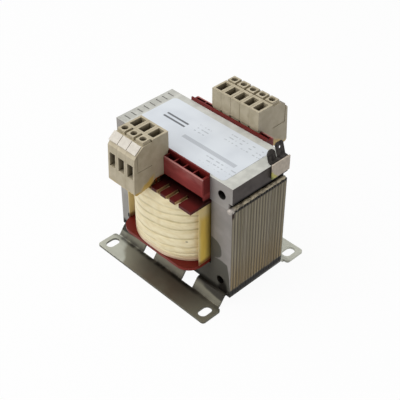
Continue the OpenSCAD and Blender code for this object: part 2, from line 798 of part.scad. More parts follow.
module rating_label() {
    color("#d9dfe5") translate([0, -label_offset, core_top])
        linear_extrude(label_t) rounded_rect(label_w, label_d, label_corner_r);
}

e_laminations();
i_laminations();
weld_bead_left();
weld_bead_right();
foot_plate();
bobbin();
primary_winding();
interlayer_insulation();
secondary_winding();
outer_wrap();
side_film_left();
side_film_right();
for (i = [1:front_poles]) front_terminal(i);
front_clamp_springs();
front_contacts();
front_leads();
front_marker_tags();
for (i = [1:rear_poles]) rear_terminal(i);
rear_clamp_springs();
rear_contacts();
rear_leads();
rear_marker_tags();
earth_bracket();
earth_marker();
rating_label();
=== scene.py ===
# %% [markdown]
# # A laminated chassis transformer
# This lesson dresses a transformer with a welded iron core. The solids come from a CAD program and already
# have their true sizes and places. Blender adds what the solids can't hold: varnished sheet edges, tape that
# was wound by hand, lumpy welds and moulded plastic. All lengths are in metres, with Z up, and the row of
# three terminals faces -Y.

# %% Load the solids
import json
import math
import bmesh
import bpy
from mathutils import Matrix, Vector, noise


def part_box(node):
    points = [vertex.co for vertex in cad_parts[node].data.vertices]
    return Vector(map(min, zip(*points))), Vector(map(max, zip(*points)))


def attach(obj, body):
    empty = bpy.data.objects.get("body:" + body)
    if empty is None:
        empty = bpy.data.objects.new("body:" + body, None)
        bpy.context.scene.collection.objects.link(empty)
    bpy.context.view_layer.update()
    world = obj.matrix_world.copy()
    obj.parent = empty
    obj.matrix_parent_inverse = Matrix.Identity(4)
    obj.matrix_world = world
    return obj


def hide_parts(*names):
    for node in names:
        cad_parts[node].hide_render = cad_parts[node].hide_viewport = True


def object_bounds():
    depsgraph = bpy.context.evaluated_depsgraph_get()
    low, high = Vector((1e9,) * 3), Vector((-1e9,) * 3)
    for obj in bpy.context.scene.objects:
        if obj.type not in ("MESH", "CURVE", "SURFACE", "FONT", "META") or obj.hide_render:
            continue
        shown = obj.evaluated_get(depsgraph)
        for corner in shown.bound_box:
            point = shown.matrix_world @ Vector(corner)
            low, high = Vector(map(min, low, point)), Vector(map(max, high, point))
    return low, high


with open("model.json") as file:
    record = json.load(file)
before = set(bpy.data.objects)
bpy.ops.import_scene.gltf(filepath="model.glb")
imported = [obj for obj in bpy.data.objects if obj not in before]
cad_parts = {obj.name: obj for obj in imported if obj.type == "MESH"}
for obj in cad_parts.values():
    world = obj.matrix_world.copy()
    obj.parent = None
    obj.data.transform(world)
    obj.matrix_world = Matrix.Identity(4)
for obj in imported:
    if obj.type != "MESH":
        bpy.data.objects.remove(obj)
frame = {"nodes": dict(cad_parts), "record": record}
cad_box = [list(corner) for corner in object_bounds()]
NODES = frame["nodes"]
MM = 0.001
print("solids:", len(NODES), "box in mm:", [[round(v / MM, 1) for v in corner] for corner in cad_box])

# %% [markdown]
# ## Measures
# Every place is read from the solids' boxes, so the lesson still fits if a size changes. The core's box
# gives the faces that most patterns start from. From here on a box is a pair of corners in millimetres.


# %% Places read from the solids
def box(node):
    """Lowest and highest corner of a solid in millimetres."""
    return [Vector(corner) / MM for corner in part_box(node)]


legs_low, legs_high = box("e_laminations")
yoke_low, yoke_high = box("i_laminations")
coil_low, coil_high = box("outer_wrap")
CORE_TOP = yoke_high.z
JOINT = yoke_low.z
STACK = yoke_high.y
print("core top", round(CORE_TOP, 2), "joint", round(JOINT, 2), "half stack", round(STACK, 2))

# %% [markdown]
# ## Adding a node
# A shader is a small net of nodes. One function adds any node: it sets the node's own properties, fills its
# sockets in the order in which the editor shows them, and gives back the socket that it feeds. A colour is
# written as sRGB hex, as a paint chart gives it, and turned to the linear values that Blender computes with.


# %% Colours and nodes
def srgb(code):
    """Linear colour with full alpha from a hex code such as d9dfe5."""
    parts = [int(code[i:i + 2], 16) / 255 for i in (0, 2, 4)]
    return [p / 12.92 if p <= 0.04045 else ((p + 0.055) / 1.055) ** 2.4 for p in parts] + [1]


def add(tree, kind, *values, named=None, out=None, **settings):
    """Adds one node and returns its output called out, or else its first one.

    settings are its properties; values fill its open sockets in order, and named fills them by name. A value
    is a number, a hex colour or the socket that feeds it.
    """
    node = tree.nodes.new("ShaderNode" + kind)
    for name, value in settings.items():
        setattr(node, name, value)
    filled = list(zip([socket for socket in node.inputs if socket.enabled], values))
    for socket, value in filled + [(node.inputs[name], value) for name, value in (named or {}).items()]:
        if isinstance(value, bpy.types.NodeSocket):
            tree.links.new(value, socket)
        else:
            socket.default_value = srgb(value) if isinstance(value, str) else value
    return node.outputs[out] if out else next((socket for socket in node.outputs if socket.enabled), None)


SMOOTH = {"interpolation_type": "SMOOTHSTEP"}
COLOUR = {"data_type": "RGBA"}
print("white is", [round(v, 3) for v in srgb("ffffff")])

# %% [markdown]
# ## A finish in the making
# Each finish is a Principled shader with patterns that read the place on the object in millimetres. So a
# pattern's scale can be written as the real thing is measured, and a stain can be put where it really is.
# The way a face looks out also matters here, since sheet ends and sheet faces belong to one solid.


# %% Finish
class Finish:
    """A material under construction; place, x, y and z are in millimetres, facing is the way a face looks."""

    def __init__(self, name, roughness, metallic=0.0, **constants):
        self.material = bpy.data.materials.new(name)
        self.material.use_nodes = True
        self.tree = self.material.node_tree
        self.shader = self.tree.nodes["Principled BSDF"]
        self.set(Roughness=roughness, Metallic=metallic, **constants)
        self.place = self.add("VectorMath", self.add("TexCoord", out="Object"), 1 / MM, operation="SCALE")
        self.x, self.y, self.z = self.add("SeparateXYZ", self.place).node.outputs
        self.facing = self.add("SeparateXYZ", self.add("NewGeometry", out="True Normal")).node.outputs

    def add(self, kind, *values, **settings):
        """Adds a node to this finish."""
        return add(self.tree, kind, *values, **settings)

    def set(self, **sockets):
        """Links or sets the shader's own sockets; an underscore in a name stands for a space."""
        for name, value in sockets.items():
            socket = self.shader.inputs[name.replace("_", " ")]
            if isinstance(value, bpy.types.NodeSocket):
                self.tree.links.new(value, socket)
            else:
                socket.default_value = value

    def stripe(self, value, low, high, soft):
        """1 where value lies between low and high, with soft edges."""
        rise = self.add("MapRange", value, low - soft, low + soft, **SMOOTH)
        fall = self.add("MapRange", value, high - soft, high + soft, 1, 0, **SMOOTH)
        return self.add("Math", rise, fall, operation="MULTIPLY")

    def mottle(self, size, detail=3, stretch=(1, 1, 1)):
        """Uneven patches, from 0 to 1, about size millimetres across; a stretch below 1 draws them out."""
        drawn_out = self.add("VectorMath", self.place, stretch, operation="MULTIPLY")
        return self.add("TexNoise", drawn_out, 1 / size, detail, 0.5)

    def onto(self, *names):
        """Puts the finish on solids by name."""
        for name in names:
            mesh = NODES[name].data
            mesh.materials.clear()
            mesh.materials.append(self.material)


print("finish helpers:", [name for name in vars(Finish) if not name.startswith("_")])

# %% [markdown]
# ## Tools for shapes
# Two kinds of pieces replace solids here. A skin is a flat grid, rolled into a tube and pushed into shape
# point by point, which suits tape and weld metal. A softened copy is the solid itself with its loose
# triangles merged and a fine bevel on its sharp edges, because no moulding or pressing has a perfectly sharp
# edge and the bevel catches the light.

# %% Mesh helpers
MERGE = 0.0005


def show(name, bm, finish, slot, *solids):
    """Makes a piece from a bmesh in millimetres; it stands for its solids, which it hides, and rides on the
    root body.
    """
    bmesh.ops.scale(bm, verts=bm.verts, vec=[MM] * 3)
    mesh = bpy.data.meshes.new(name)
    bm.to_mesh(mesh)
    bm.free()
    mesh.materials.append(finish.material)
    piece = bpy.data.objects.new(name, mesh)
    bpy.context.scene.collection.objects.link(piece)
    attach(piece, "root")
    if solids:
        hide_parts(*solids)
    return piece


def rolled_skin(around, along, place):
    """A closed tube of quads; place gives a point and its dent for a share of a turn and of the length."""
    bm = bmesh.new()
    dent = bm.verts.layers.float.new("dent")
    bmesh.ops.create_grid(bm, x_segments=around, y_segments=along, size=0.5)
    for vert in bm.verts:
        vert.co, vert[dent] = place((vert.co.x + 0.5) % 1, vert.co.y + 0.5)
    bmesh.ops.remove_doubles(bm, verts=bm.verts, dist=MERGE)
    bmesh.ops.recalc_face_normals(bm, faces=bm.faces)
    for face in bm.faces:
        face.smooth = True
    return bm


def lump(point, size, seed=0):
    """Smooth noise from 0 to 1 with lumps of about size millimetres."""
    return 0.5 + 0.5 * noise.noise(Vector(point) / size + Vector((seed, 0, 0)))


def softened(node, finish, slot, width):
    """A copy of a solid with its sharp edges rounded by width millimetres."""
    bm = bmesh.new()
    bm.from_mesh(NODES[node].data)
    bmesh.ops.scale(bm, verts=bm.verts, vec=[1 / MM] * 3)
    bmesh.ops.remove_doubles(bm, verts=bm.verts, dist=MERGE)
    bmesh.ops.dissolve_limit(bm, angle_limit=math.radians(0.5), verts=bm.verts, edges=bm.edges)
    piece = show("soft_" + node, bm, finish, slot, node)
    bevel = piece.modifiers.new("edge", "BEVEL")
    bevel.width = width * MM
    bevel.segments = 2
    bevel.limit_method = "ANGLE"
    bevel.angle_limit = math.radians(35)
    return piece


print("points closer than", MERGE, "mm are merged")

# %% [markdown]
# ## Camera
# The camera looks down at about 39 degrees over the front right corner, so that the front row, the right end
# of the core and the label all show. A long lens keeps upright edges nearly parallel.

# %% Camera
CAMERA_PLACE = Vector((303.97, -296.34, 388.14)) * MM
AIM = Vector((4.171, -4.214, 45.0)) * MM
camera_data = bpy.data.cameras.new("camera")
camera = bpy.data.objects.new("camera", camera_data)
bpy.context.scene.collection.objects.link(camera)
camera.location = CAMERA_PLACE
camera.rotation_euler = (AIM - CAMERA_PLACE).to_track_quat("-Z", "Y").to_euler()
camera_data.sensor_width = 36
camera_data.lens = 81.115
camera_data.clip_start = 0.01
bpy.context.scene.camera = camera
bpy.context.scene.view_settings.view_transform = "Standard"
print("camera distance in mm", round((AIM - CAMERA_PLACE).length / MM))

# %% [markdown]
# ## Pale surroundings
# A white room would flood the object with light and wash its colours out. A Light Path node tells where a ray
# comes from. So the floor and the world can show white to the camera and in reflections, and give only soft
# light otherwise. The floor stays a little matt, so the object casts a shadow on it.

# %% World and floor
AMBIENT = 0.33
FLOOR_GLOW = 0.95


def seen_directly(tree):
    """A share that is 1 for camera, mirror and glass rays."""
    rays = add(tree, "LightPath").node.outputs
    share = rays["Is Camera Ray"]
    for name in ("Is Glossy Ray", "Is Transmission Ray"):
        share = add(tree, "Math", share, rays[name], operation="MAXIMUM")
    return share


world = bpy.data.worlds.new("studio")
bpy.context.scene.world = world
world.use_nodes = True
sky = world.node_tree
shade = add(sky, "Mix", seen_directly(sky), [AMBIENT] * 3 + [1], [1, 1, 1, 1], **COLOUR)
sky.links.new(shade, sky.nodes["Background"].inputs["Color"])

bpy.ops.mesh.primitive_plane_add(size=4)
floor = bpy.context.object
floor.name = "floor"
floor_material = bpy.data.materials.new("white_studio_floor")
floor_material.use_nodes = True
net = floor_material.node_tree
net.nodes.clear()
matt = add(net, "BsdfDiffuse", "d8d8d8")
glow = add(net, "Emission", [1, 1, 1, 1], 1.0)
lift = add(net, "Math", seen_directly(net), FLOOR_GLOW, operation="MULTIPLY")
add(net, "OutputMaterial", add(net, "MixShader", lift, matt, glow))
floor.data.materials.append(floor_material)
print("floor material:", floor_material.name)

# %% [markdown]
# ## Lamps
# Small lamps would leave hard shadows. Three large soft boxes light the top, the front and, more weakly, the
# right side, so each face of the core gets its own tone.


# %% Soft boxes
def lamp(name, place, size, watts):
    """A square soft box, aimed at the middle of the object."""
    data = bpy.data.lights.new(name, "AREA")
    data.size = size
    data.energy = watts
    soft_box = bpy.data.objects.new(name, data)
    bpy.context.scene.collection.objects.link(soft_box)
    soft_box.location = place
    soft_box.rotation_euler = (AIM - soft_box.location).to_track_quat("-Z", "Y").to_euler()


lamp("top_softbox", Vector((-0.25, -0.15, 0.9)), 0.7, 6.4)
lamp("front_softbox", Vector((-0.35, -0.85, 0.45)), 0.6, 3.6)
lamp("right_fill", Vector((0.95, -0.1, 0.3)), 0.6, 1.4)

# %% [markdown]
# ## The core: varnished silicon steel
# The core is a stack of punched sheets, half a millimetre each, which are welded and dipped in varnish. A
# flat face shows one grey sheet under a dull film. It could be made of ninety thin solids, but one solid
# with a pattern looks the same and stays light. One material serves sheet faces and sheet ends, because the
# side that a face turns to chooses its pattern.


# %% What legs and yoke have in common
def core_steel(name, plain, cloudy):
    """Varnished electrical steel: the finish, its share of sheet ends, its plain sheet and its clouds."""
    steel = Finish(name, roughness=0.45, metallic=0.2, Specular_IOR_Level=0.08)
    sideways = steel.add("Math", steel.facing["X"], operation="ABSOLUTE")
    ends = steel.add("MapRange", sideways, 0.7, 0.9, **SMOOTH)
    clouds = steel.mottle(11, 4)
    share = steel.add("MapRange", clouds, 0.3, 0.7, **SMOOTH)
    return steel, ends, steel.add("Mix", share, plain, cloudy, **COLOUR), clouds


def painted_hole_shade(steel):
    """Painted shade, 0.9 on the walls of the four bolt holes, whose places the record states, and 0
    elsewhere.
    """
    holes = next(mount for mount in frame["record"]["mounts"] if mount["name"] == "core_holes")
    dims = holes["dims"]
    across = steel.add("Math", steel.x, operation="ABSOLUTE")
    across = steel.add("Math", across, dims["spacing_x_mm"] / 2, operation="SUBTRACT")
    up = steel.add("Math", steel.z, holes["pos_m"][2] / MM, operation="SUBTRACT")
    up = steel.add("Math", up, operation="ABSOLUTE")
    up = steel.add("Math", up, dims["spacing_y_mm"] / 2, operation="SUBTRACT")
    squares = [steel.add("Math", length, 2, operation="POWER") for length in (across, up)]
    out = steel.add("Math", steel.add("Math", *squares, operation="ADD"), operation="SQRT")
    return steel.add("MapRange", out, dims["hole_r_mm"], dims["hole_r_mm"] + 0.3, 0.9, 0, **SMOOTH)


legs, legs_end, legs_sheet, legs_cloud = core_steel("varnished_silicon_steel_legs", "938e8a", "85817d")
print("core finish started:", legs.material.name)

# %% [markdown]
# ## Sheet ends
# The ends of the stack show the edges of the sheets: varnish bands, with dark lines between the packs in
# which the sheets were laid. Single sheets are too fine to show, so each band is a pack of five. The bands
# differ a little in tone, carry pale streaks from top to bottom, and turn amber low down, where the varnish
# ran and lies thicker.

# %% Bands and lines
PACKS = 18
wobble = legs.add("Math", legs.mottle(14, 2, (1, 1, 0.3)), 0.5, -0.25, operation="MULTIPLY_ADD")
depth = legs.add("Math", legs.y, wobble, operation="ADD")
depth = legs.add("Math", depth, STACK, operation="ADD")
packs = legs.add("Math", depth, PACKS / (2 * STACK), operation="MULTIPLY")
band = legs.stripe(legs.add("Math", packs, operation="FRACT"), 0.2, 0.8, 0.16)
pack_line = legs.add("Math", 1, band, operation="SUBTRACT")
tone = legs.add("TexWhiteNoise", legs.add("Math", packs, operation="FLOOR"), noise_dimensions="1D")
edges = legs.add("Mix", tone, "8f8775", "807862", **COLOUR)
streak = legs.add("MapRange", legs.mottle(3, 4, (1, 6, 0.12)), 0.45, 0.8, 0, 0.6, **SMOOTH)
edges = legs.add("Mix", streak, edges, "aca48f", **COLOUR)
low_down = legs.add("Math", legs.mottle(8), 14, legs.z, operation="MULTIPLY_ADD")
low_down = legs.add("MapRange", low_down, 18, 52, 0.6, 0, **SMOOTH)
edges = legs.add("Mix", low_down, edges, "8a7246", **COLOUR)
dark_line = legs.add("Math", pack_line, 0.62, operation="MULTIPLY")
edges = legs.add("Mix", dark_line, edges, "40382f", **COLOUR)
print("packs:", PACKS, "each", round(2 * STACK / PACKS, 2), "mm")

# %% [markdown]
# ## Varnish and painted shade on the ends
# The first sheet has no band of its own. Along the foot a black rim is painted, partly dried varnish and
# partly painted shade where the ends meet the foot plate; just under each weld bead the rim is painted
# shade. A brown drip hangs from each weld's front end. The height of a place plus some noise gives each rim
# its uneven edge.

# %% Rims and drip
RIM_LOW, RIM_HIGH = legs_low.z + 4.4, legs_low.z + 6.2
first_sheet = legs.stripe(legs.y, -STACK - 1, -STACK + 0.5, 0.25)
edges = legs.add("Mix", first_sheet, edges, "7d776f", **COLOUR)
drip = legs.add("Math", legs.mottle(2, 2), 3, legs.z, operation="MULTIPLY_ADD")
drip = legs.add("MapRange", drip, JOINT - 5, JOINT - 2.5, **SMOOTH)
drip = legs.add("Math", legs.stripe(legs.y, -STACK - 1, -STACK + 2, 0.4), drip, operation="MULTIPLY")
edges = legs.add("Mix", drip, edges, "33241a", **COLOUR)
# Black rim: dried varnish with painted shade above the foot plate, and painted shade just under the weld
# bead.
rim = legs.add("Math", legs.mottle(5, 3), 3, legs.z, operation="MULTIPLY_ADD")
rim = legs.add("MapRange", rim, RIM_LOW, RIM_HIGH, 1, 0, **SMOOTH)
under_bead = legs.add("MapRange", legs.z, JOINT - 2.2, JOINT - 1.2, **SMOOTH)
rim = legs.add("Math", rim, under_bead, operation="MAXIMUM")
edges = legs.add("Mix", rim, edges, "0f0c0a", **COLOUR)
print("black rim up to", round(RIM_HIGH, 1), "mm")

# %% [markdown]
# ## Sheet faces
# The dip left the lower part of the right leg darker and glossier, with a sharp edge, one round drop beside
# it, and a nearly black smear at its foot. Each of these could be painted by hand in an image, but a height
# or a distance with a soft, uneven limit does the same with a few nodes.

# %% Dipped edge, drop and smear
DIP_LINE = 31
DROP_PLACE, DROP_R = (33, -STACK, 38), 7.2
SMEAR_PLACE, SMEAR_R, SMEAR_SQUEEZE = (42.5, -STACK, 4.5), 2.8, (1, 1, 0.5)
uneven = legs.add("Math", legs.mottle(7, 2), 5, -2.5, operation="MULTIPLY_ADD")
less_uneven = legs.add("Math", uneven, 0.4, operation="MULTIPLY")
outward = legs.add("Math", legs.x, operation="ABSOLUTE")
dip = legs.add("MapRange", outward, 45, 49, 0, 22, **SMOOTH)
dip = legs.add("Math", legs.add("Math", legs.z, dip, operation="ADD"), uneven, operation="ADD")
dip = legs.add("MapRange", dip, DIP_LINE, DIP_LINE + 1.2, 1, 0, **SMOOTH)
drop = legs.add("VectorMath", legs.place, DROP_PLACE, operation="DISTANCE")
drop = legs.add("Math", drop, less_uneven, operation="ADD")
drop = legs.add("MapRange", drop, DROP_R, DROP_R + 0.8, 1, 0, **SMOOTH)
stain = legs.add("Math", dip, drop, operation="MAXIMUM")
right_side = legs.add("MapRange", legs.x, -45, 0, 0.15, 1, **SMOOTH)
stain = legs.add("Math", stain, right_side, operation="MULTIPLY")
smear = legs.add("VectorMath", legs.place, SMEAR_SQUEEZE, operation="MULTIPLY")
smear = legs.add("VectorMath", smear, SMEAR_PLACE, operation="DISTANCE")
smear = legs.add("Math", smear, less_uneven, operation="ADD")
smear = legs.add("MapRange", smear, SMEAR_R, SMEAR_R + 2.2, 0.95, 0, **SMOOTH)
print("varnish line at", DIP_LINE, "mm, drop", 2 * DROP_R, "mm wide")

# %% [markdown]
# ## The legs put together
# The right leg is brown next to the coil, and the left leg is paler. Both are painted darker towards the
# foot, partly dried varnish and partly painted shade above the foot plate. Upward faces sit in hollows such
# as the weld notch, and are painted nearly black as painted shade. Now the layers are laid over each other
# from the sheet outwards, and the side that a face turns to chooses between sheet faces and sheet ends. Two
# bumps raise the bands and give the film its faint waves.

# %% Faces of the legs
by_coil = legs.add("Math", legs.mottle(5, 2), 3, outward, operation="MULTIPLY_ADD")
by_coil = legs.add("MapRange", by_coil, 33, 37, 0.5, 0, **SMOOTH)
for limit in (legs.add("MapRange", legs.x, -10, 10, **SMOOTH), legs.add("MapRange", legs.z, 8, 30, **SMOOTH)):
    by_coil = legs.add("Math", by_coil, limit, operation="MULTIPLY")
front = legs.add("Mix", by_coil, legs_sheet, "5f574c", **COLOUR)
left_side = legs.add("MapRange", legs.x, -20, -40, **SMOOTH)
front = legs.add("Mix", left_side, front, "9c9995", **COLOUR)
front = legs.add("Mix", legs.add("Math", stain, 0.9, operation="MULTIPLY"), front, "4c4b44", **COLOUR)
# Painted shade above the foot plate, together with dried varnish.
foot_shade = legs.add("MapRange", legs.z, legs_low.z + 1, legs_low.z + 4, 0.9, 0, **SMOOTH)
front = legs.add("Mix", foot_shade, front, "1f1c18", **COLOUR)
front = legs.add("Mix", smear, front, "100d0b", **COLOUR)
# Upward faces are painted nearly black as painted shade.
upward = legs.add("MapRange", legs.facing["Z"], 0.7, 0.9, **SMOOTH)
front = legs.add("Mix", upward, front, "1b1815", **COLOUR)
print("faces of the legs coloured down to", round(legs_low.z, 1), "mm")

# %% Legs put together
surface = legs.add("Mix", legs_end, front, edges, **COLOUR)
# The bolt holes' walls are painted nearly black as painted shade.
legs.set(Base_Color=legs.add("Mix", painted_hole_shade(legs), surface, "14110e", **COLOUR))
legs.set(Roughness=legs.add("Math", stain, -0.15, 0.46, operation="MULTIPLY_ADD"))
ridges = legs.add("Math", band, legs_end, operation="MULTIPLY")
free = legs.add("Math", 1, rim, operation="SUBTRACT")
ridges = legs.add("Math", ridges, free, operation="MULTIPLY")
relief = legs.add("Bump", 0.6, 0.25 * MM, named={"Height": ridges})
legs.set(Normal=legs.add("Bump", 0.3, 0.05 * MM, named={"Height": legs_cloud, "Normal": relief}))
legs.onto("e_laminations")
print("nodes in the legs' finish:", len(legs.tree.nodes))

# %% [markdown]
# ## The yoke's ends
# The yoke closes the core on top. Varnish lies thick on the ends of its sheets, so they look smooth and dark.
# Where the yoke meets the legs its notch is painted black as painted shade, apart from the notch's front end,
# which the weld filled.

# %% Ends of the yoke
NOTCH_TOP = JOINT + 5
yoke, yoke_end, yoke_sheet, yoke_cloud = core_steel("varnished_silicon_steel_yoke", "9b9793", "8f8b87")
thick = yoke.add("MapRange", yoke.mottle(7, 4, (0.3, 1, 1)), 0.35, 0.75, **SMOOTH)
side = yoke.add("Mix", thick, "4d4744", "3f3a38", **COLOUR)
# Painted shade: the notch and a thin band above it are painted nearly black.
notch_shade = yoke.add("MapRange", yoke.z, NOTCH_TOP + 0.4, NOTCH_TOP + 1.4, 1, 0, **SMOOTH)
side = yoke.add("Mix", notch_shade, side, "12100e", **COLOUR)
filled_end = yoke.add("MapRange", yoke.y, 0.6 - STACK, 2.2 - STACK, 1, 0, **SMOOTH)
in_notch = yoke.add("MapRange", yoke.z, NOTCH_TOP, NOTCH_TOP + 0.4, 1, 0, **SMOOTH)
filled_end = yoke.add("Math", filled_end, in_notch, operation="MULTIPLY")
side = yoke.add("Mix", filled_end, side, "8a8480", **COLOUR)
print("notch of the weld ends at", round(NOTCH_TOP, 1), "mm")

# %% [markdown]
# ## The yoke's top
# The top is a pale bare sheet round the label. A row of short punch marks lies at its left end, where rubbing
# has greyed the sheet. The marks are real hollows in the solid, 0.2 mm deep, so a place's height alone tells
# where they are.

# %% Top of the yoke
MARK_DEEP = 0.2
plate = yoke.add("MapRange", yoke.mottle(5, 4), 0.3, 0.7, **SMOOTH)
plate = yoke.add("Mix", plate, "c2c2bb", "b2b2ab", **COLOUR)
half_way = CORE_TOP - MARK_DEEP / 2
punched = yoke.add("MapRange", yoke.z, half_way - 0.02, half_way + 0.02, 0.85, 0, **SMOOTH)
plate = yoke.add("Mix", punched, plate, "5f5e59", **COLOUR)
rubbed = yoke.add("MapRange", yoke.x, yoke_low.x + 6.5, yoke_low.x + 8, 0.5, 0, **SMOOTH)
rubbed = yoke.add("Math", rubbed, yoke.mottle(1.2, 3, (0.4, 2, 1)), operation="MULTIPLY")
plate = yoke.add("Mix", rubbed, plate, "8f8e88", **COLOUR)
surface = yoke.add("Mix", yoke_end, yoke_sheet, side, **COLOUR)
upward = yoke.add("MapRange", yoke.facing["Z"], 0.7, 0.9, **SMOOTH)
surface = yoke.add("Mix", upward, surface, plate, **COLOUR)
# As on the legs, the bolt holes' walls are painted nearly black as painted shade.
yoke.set(Base_Color=yoke.add("Mix", painted_hole_shade(yoke), surface, "14110e", **COLOUR))
yoke.set(Normal=yoke.add("Bump", 0.3, 0.05 * MM, named={"Height": yoke_cloud}))
yoke.onto("i_laminations")
print("core finishes:", legs.material.name, yoke.material.name)

# %% [markdown]
# ## Weld beads
# Each bead is metal that froze in ripples along the joint, with burnt varnish on it. Its front end is bare
# and thicker, as the weld began there. A bump alone would leave a straight outline, so the bead is a skin
# round the solid bead's axis, whose radius swells and shrinks every few millimetres.

# %% Lumpy beads
BEAD_R, BEAD_RISE, BEAD_FULL = 1.7, 0.2, 0.92
RIPPLE, RIPPLE_SIZE = 0.3, 1.6
START_LENGTH, START_SWELL, START_INWARD, START_SAG = 8, 0.4, 0.4, 0.9
weld = Finish("varnished_weld_bead", roughness=0.45, metallic=0.15)
crumbs = weld.mottle(1.8, 4, (1, 0.7, 1))
crust = weld.add("MapRange", crumbs, 0.35, 0.6, **SMOOTH)
crust = weld.add("Mix", crust, "6a5f4e", "bcb094", **COLOUR)
bare_end = weld.add("MapRange", weld.y, -STACK + 0.5, -STACK + 4, 1, 0, **SMOOTH)
weld.set(Base_Color=weld.add("Mix", bare_end, crust, "aea69e", **COLOUR))
weld.set(Normal=weld.add("Bump", 1, 0.4 * MM, named={"Height": crumbs}))


def weld_bead(side):
    """One bead along the outer edge of its solid; it lies low, so that a black gap shows above it."""
    low, high = box("weld_bead_" + side)
    sign = 1 if side == "right" else -1
    middle = Vector(((high.x if side == "right" else low.x) - sign * BEAD_R, 0, low.z + BEAD_RISE))
    start = max(low.y, -STACK - 1)

    def place(turn, rise):
        y = start + (high.y - start) * rise
        rounding = min(1, min(y - start, high.y - y) / BEAD_R)
        thicker = max(0, 1 - (y - start) / START_LENGTH)
        angle = 2 * math.pi * turn
        dent = RIPPLE * lump((math.cos(angle), y, math.sin(angle)), RIPPLE_SIZE, middle.x)
        reach = BEAD_R * (BEAD_FULL - dent + START_SWELL * thicker) * math.sqrt(1 - (1 - rounding) ** 2)
        centre = middle - thicker * Vector((START_INWARD * sign, 0, START_SAG))
        return centre + Vector((reach * math.cos(angle), y, reach * math.sin(angle))), dent

    return show("lumpy_bead_" + side, rolled_skin(20, 150, place), weld, "weld", "weld_bead_" + side)


for side_name in ("left", "right"):
    print(weld_bead(side_name).name, "made")

# %% [markdown]
# ## Varnish pools
# After the dip the core stood on its foot, and varnish gathered along the lower edges of the stack, where it
# dried as a dark bead. Hardened varnish is smooth but dusty, so it shines only faintly. It is the same kind
# of skin as the weld bead, with longer and softer swellings.

# %% Pools along the lower edges
POOL_R, POOL_OUT, POOL_RISE = 2.0, 0.2, 0.3
SWELLING, SWELLING_SIZE = 0.25, 5
POOL_END = STACK + 0.8
pooled = Finish("dried_dark_varnish", roughness=0.4, Specular_IOR_Level=0.15)
dusty = pooled.add("MapRange", pooled.mottle(3, 3), 0.35, 0.65, **SMOOTH)
pooled.set(Base_Color=pooled.add("Mix", dusty, "1f1913", "0f0c0a", **COLOUR))
pooled.set(Normal=pooled.add("Bump", 0.5, 0.15 * MM, named={"Height": pooled.mottle(1.5, 2)}))


def varnish_pool(side):
    """A bead of varnish where one end of the stack meets the foot plate."""
    sign = 1 if side == "right" else -1
    edge = Vector((sign * (legs_high.x - POOL_R + POOL_OUT), 0, legs_low.z + POOL_RISE))

    def place(turn, rise):
        y = POOL_END * (2 * rise - 1)
        angle = 2 * math.pi * turn
        rounding = min(1, (POOL_END - abs(y)) / POOL_R)
        dent = SWELLING * lump((math.cos(angle), y, math.sin(angle)), SWELLING_SIZE, sign)
        reach = POOL_R * (1 - dent) * math.sqrt(1 - (1 - rounding) ** 2)
        return edge + Vector((reach * math.cos(angle), y, reach * math.sin(angle))), dent

    return show("varnish_pool_" + side, rolled_skin(20, 90, place), pooled, "core_steel")


for side_name in ("left", "right"):
    print(varnish_pool(side_name).name, "made")

# %% [markdown]
# ## Foot plate: zinc-plated sheet
# The foot is pressed from zinc-plated sheet. Zinc gives a soft grey metal with a slight yellow-green cast and
# fine rubbing marks along the rails. Its edges are slightly round from the press, so it is a softened copy.
# The front half is painted olive to brown as a painted reflection, which ends at a slanting line on the left,
# where the zinc stays bright.

# %% Zinc and painted reflection
REFLECTION_EDGE = -66
foot = Finish("zinc_plated_sheet", roughness=0.42, metallic=0.6, Specular_IOR_Level=0.2)
cloud = foot.mottle(20, 4, (0.6, 1, 1))
rubbing = foot.mottle(1.1, 3, (0.2, 1, 1))
zinc = foot.add("MapRange", cloud, 0.3, 0.7, **SMOOTH)
zinc = foot.add("Mix", zinc, "b7b8ab", "a2a295", **COLOUR)
zinc = foot.add("Mix", foot.add("Math", rubbing, 0.25, operation="MULTIPLY"), zinc, "77766a", **COLOUR)
# Painted reflection: the front half turns olive to brown, apart from a bright wedge at the left end.
slant = foot.add("Math", foot.y, foot.x, operation="ADD")
slant = foot.add("Math", foot.mottle(9, 1), 8, slant, operation="MULTIPLY_ADD")
reflection_share = foot.add("MapRange", slant, REFLECTION_EDGE, REFLECTION_EDGE + 4, 0, 0.92, **SMOOTH)
front_half = foot.add("MapRange", foot.y, -5, 0, 1, 0, **SMOOTH)
reflection_share = foot.add("Math", reflection_share, front_half, operation="MULTIPLY")
brown = foot.add("MapRange", foot.mottle(14, 2), 0.2, 0.7, 0.4, 0.9, **SMOOTH)
brown = foot.add("Math", foot.stripe(foot.x, -14, 30, 16), brown, operation="MULTIPLY")
reflection_colour = foot.add("Mix", brown, "7b7766", "60513f", **COLOUR)
zinc = foot.add("Mix", reflection_share, zinc, reflection_colour, **COLOUR)
print("foot finish started:", foot.material.name)

# %% [markdown]
# ## Shade of the web and the folds
# The web slopes from the core down to the rails. Sloping faces are painted darker as painted shade, most of
# all high up under the core and towards the ends, and so are the inner folds. The rear half is paler than the
# front one.

# %% Web, folds and foot plate
RAIL_TOP = 2.1
FOLD_NEAR, FOLD_FAR = 27.6, 31.4
